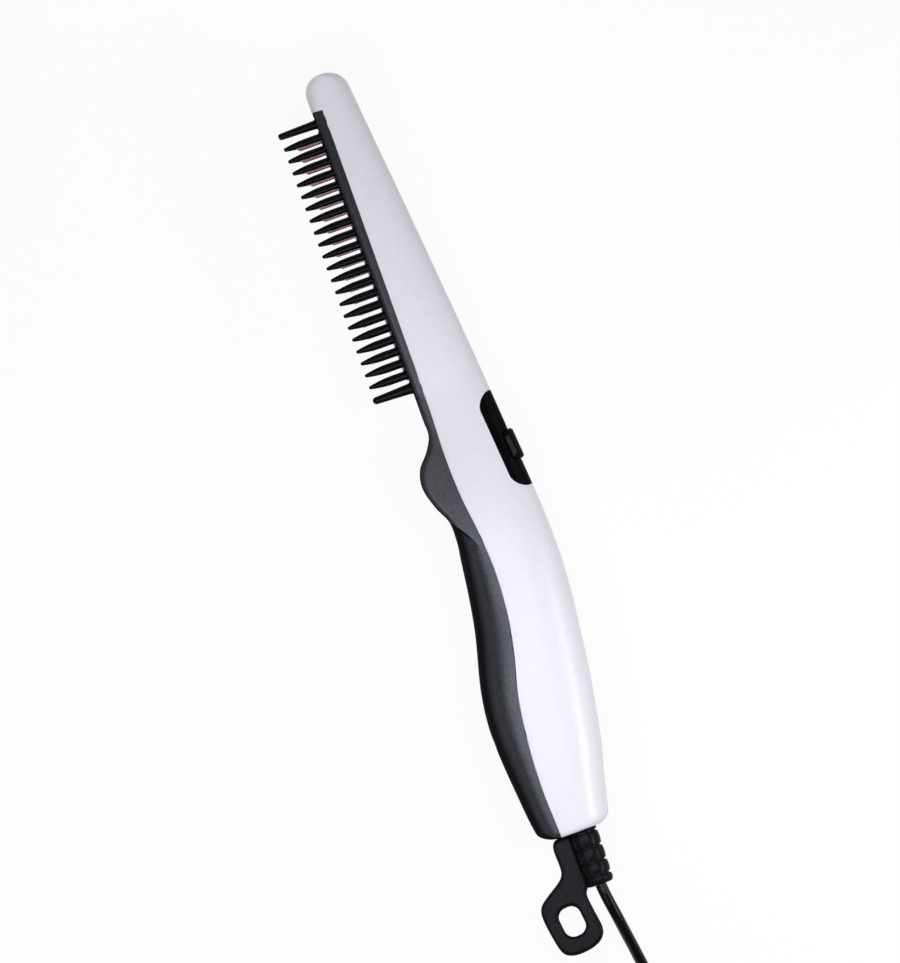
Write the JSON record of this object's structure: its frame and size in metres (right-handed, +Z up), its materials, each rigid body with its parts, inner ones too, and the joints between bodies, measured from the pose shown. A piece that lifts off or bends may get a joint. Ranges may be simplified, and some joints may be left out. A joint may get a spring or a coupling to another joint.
{
  "type": "hot comb",
  "caption": "Electric hot comb with a white back shell, dark grip with finger stop, black toothed guard, rose heated fins, slide switch, hanging loop, and a coiled cord with a plug.",
  "frame": {"origin": "on the surface the comb lies on, under the middle of the comb and its hanging loop, the free cord left out", "axes": "+X along the body from the cord end to the tip, +Y from the back to the teeth, +Z up, across the width"},
  "size_m": [0.4456, 0.0568, 0.0308],
  "materials": {
    "white_plastic": "satin gloss",
    "soft_grip": "matte, fine grain",
    "black_plastic": "gloss",
    "soft_black_plastic": "matte",
    "rose_coating": "satin ceramic coating",
    "heat_proof_plastic": "matte",
    "pale_plastic": "matte",
    "red_plastic": "gloss",
    "plug_plastic": "satin",
    "ceramic": "matte ceramic, as heavy as stone",
    "mica": "pearly",
    "brass": "plain",
    "steel": "zinc plated",
    "nickel": "nickel plated",
    "board": "solder mask",
    "parts_on_board": "gloss",
    "cord_sheath": "gloss",
    "brown_sheath": "satin",
    "blue_sheath": "satin",
    "pale_sheath": "satin"
  },
  "bodies": {
    "comb_body": {"white_shell": "white_plastic", "grip_cover": "soft_grip", "comb_guard": "black_plastic", "near_teeth": "black_plastic", "far_teeth": "black_plastic", "heater_plate": "rose_coating", "heater_tray": "heat_proof_plastic", "ptc_stones": "ceramic", "electrode_strips": "brass", "mica_sheets": "mica", "pressure_springs": "steel", "thermal_fuse": "steel", "tray_screws": "steel", "switch_panel": "black_plastic", "switch_case": "black_plastic", "switch_terminals": "brass", "switch_board": "board", "board_parts": "parts_on_board", "board_screws": "steel", "shell_screws": "steel", "cord_clamp": "soft_black_plastic", "clamp_screws": "steel", "inner_cable": "cord_sheath", "live_core": "brown_sheath", "neutral_core": "blue_sheath", "heater_leads": "pale_sheath", "splice_sleeve": "red_plastic", "strain_relief": "cord_sheath", "cord_tube": "cord_sheath", "cord_coil": "cord_sheath", "cord_tie": "soft_black_plastic", "plug_body": "plug_plastic", "plug_pins": "nickel"},
    "slider": {"switch_knob": "black_plastic", "switch_stem": "pale_plastic", "contact_bridge": "brass"}
  },
  "joints": [
    {"name": "switch_slide", "type": "slide", "parent": "comb_body", "child": "slider", "axis": [0.9967, 0.0808, 0], "range_m": [0, 0.0048]}
  ]
}
